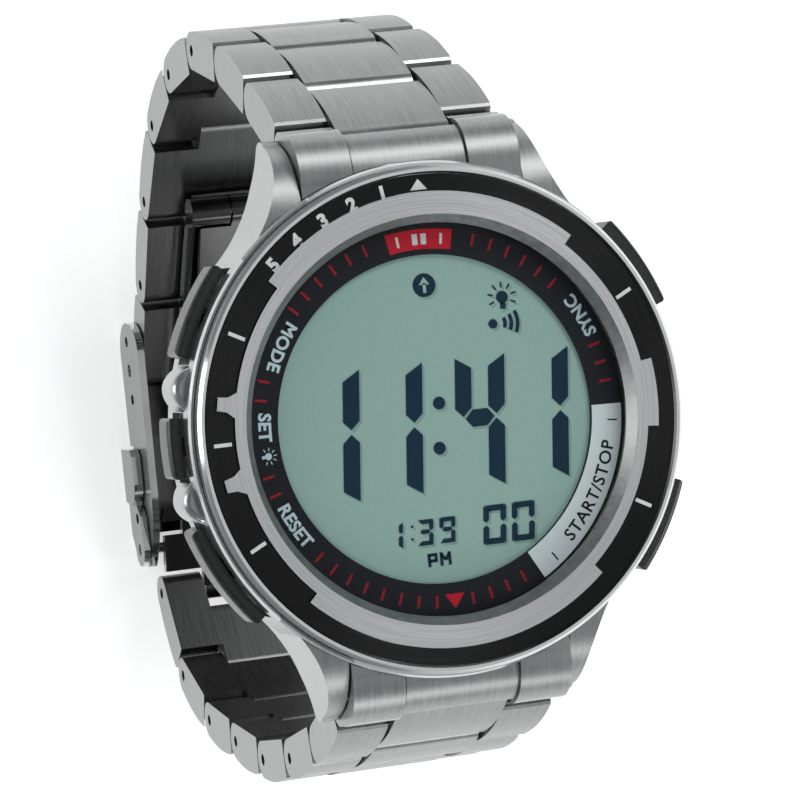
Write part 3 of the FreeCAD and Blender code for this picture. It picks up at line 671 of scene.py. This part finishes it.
# Lower edge, width, height, stroke and gap of each size of digit.
BIG_DIGIT = (-7.1, 5.1, 12.75, 1.68, 0.22)
SMALL_DIGIT = (-12.05, 1.62, 2.5, 0.42, 0.09)
SECONDS_DIGIT = (-12.75, 2.35, 3.8, 0.58, 0.13)
SOUND = (7.0, 8.55)                  # centre of the sound symbol's waves
SHADE_SHIFT = (0.22, -0.26)          # the segments' shade on the reflector
SHADE_THICK = 0.01 * MM
PANEL_GAP = 0.004 * MM
INK_LIFT = 0.02 * MM                 # segments stand above their shade
ARROW_LIFT = 0.045 * MM              # the arrow lies on its disc

big = []
for char, right in (("1", -7.7), ("1", -1.3), ("4", 7.15), ("1", 13.75)):
    big += digit(char, right, *BIG_DIGIT)
big += [lean_disc(0.4, y, 0.62) for y in (1.5, -2.85)]
small = []
for char, right in (("1", -3.45), ("3", -0.35), ("9", 1.9)):
    small += digit(char, right, *SMALL_DIGIT)
small += [lean_disc(-2.5, y, 0.13) for y in (-10.1, -11.3)]
for right in (7.15, 10.1):
    small += digit("0", right, *SECONDS_DIGIT)
symbols = [disc(0.25, 13.0, 1.15, 32)]
symbols += bulb(8.05, 11.05, 1.1, 0.0)
symbols += [disc(6.85, 8.55, 0.46)]
for radius in (1.1, 1.75, 2.4):
    for cell in arc_band(radius - 0.18, radius + 0.18, 64, 116, 8):
        symbols.append(shifted(cell, *SOUND))

panel_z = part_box("lcd_panel")[1].z + PANEL_GAP
ink_z = panel_z + INK_LIFT
for name, outlines in (("big_digits", big), ("small_digits", small), ("symbols", symbols)):
    shade = [shifted(shape, *SHADE_SHIFT) for shape in outlines]
    sheet(name + "_shade", shade, panel_z, SHADE_THICK, segment_shade)
    sheet(name, outlines, ink_z, THIN, segment_ink)
arrow = [
    [(0.09, 12.25), (0.41, 12.25), (0.41, 13.2), (0.09, 13.2)],
    [(-0.28, 13.05), (0.78, 13.05), (0.25, 13.8)],
]
sheet("arrow_symbol", arrow, panel_z + ARROW_LIFT, SHADE_THICK, screen)
sheet("text_pm", strokes_pm(-1.05, -13.55, 1.3, 0.30), ink_z, THIN, segment_ink)


# Floor, light and camera ------------------------------------------------------------

WATCH_MIDDLE = (0.0, 0.0, 0.06)
FLOOR_HALF = 3.0
FLOOR_CELLS = 24
FLOOR_Z = -0.0002     # just under the watch, which stands at zero


def floor():
    """Large plain floor."""
    marks = [FLOOR_HALF * (2 * k / FLOOR_CELLS - 1) for k in range(FLOOR_CELLS + 1)]
    points = [(x, y, FLOOR_Z) for x in marks for y in marks]
    row = len(marks)
    faces = []
    for i in range(FLOOR_CELLS):
        for j in range(FLOOR_CELLS):
            corner = i * row + j
            faces.append([corner, corner + row, corner + row + 1, corner + 1])
    mesh = bpy.data.meshes.new("floor")
    mesh.from_pydata(points, [], faces)
    mesh.materials.append(floor_paint)
    ground = bpy.data.objects.new("floor", mesh)
    bpy.context.scene.collection.objects.link(ground)


def softbox(name, place, width, depth, power):
    """Rectangular area light aimed at the middle of the watch."""
    light = bpy.data.lights.new(name, "AREA")
    light.shape = "RECTANGLE"
    light.size = width
    light.size_y = depth
    light.energy = power
    holder = bpy.data.objects.new(name, light)
    bpy.context.scene.collection.objects.link(holder)
    holder.location = place
    aim = Vector(WATCH_MIDDLE) - Vector(place)
    holder.rotation_euler = aim.to_track_quat("-Z", "Y").to_euler()


floor()
softbox("key", (0.30, 0.55, 0.60), 0.50, 0.30, 2.0)
softbox("left", (-0.70, 0.10, 0.30), 0.35, 0.45, 1.9)
softbox("right", (0.60, -0.20, 0.45), 0.25, 0.50, 1.5)
softbox("top", (0.27, 0.0, 0.95), 0.30, 0.34, 0.15)
softbox("front", (0.05, -0.65, 0.40), 0.45, 0.20, 1.2)

world = bpy.data.worlds.new("studio")
world.use_nodes = True
background = world.node_tree.nodes["Background"]
background.inputs["Color"].default_value = (0.93, 0.97, 1.0, 1.0)
background.inputs["Strength"].default_value = 0.26
bpy.context.scene.world = world
bpy.context.scene.view_settings.view_transform = "Standard"

lens = bpy.data.cameras.new("camera")
lens.lens = 187.07
lens.sensor_width = 36.0
lens.clip_start = 0.01
camera = bpy.data.objects.new("camera", lens)
bpy.context.scene.collection.objects.link(camera)
camera.location = (-0.12357, 0.0182, 0.4635)
camera.rotation_euler = [math.radians(angle) for angle in (-0.41, -17.579, -6.21)]
bpy.context.scene.camera = camera
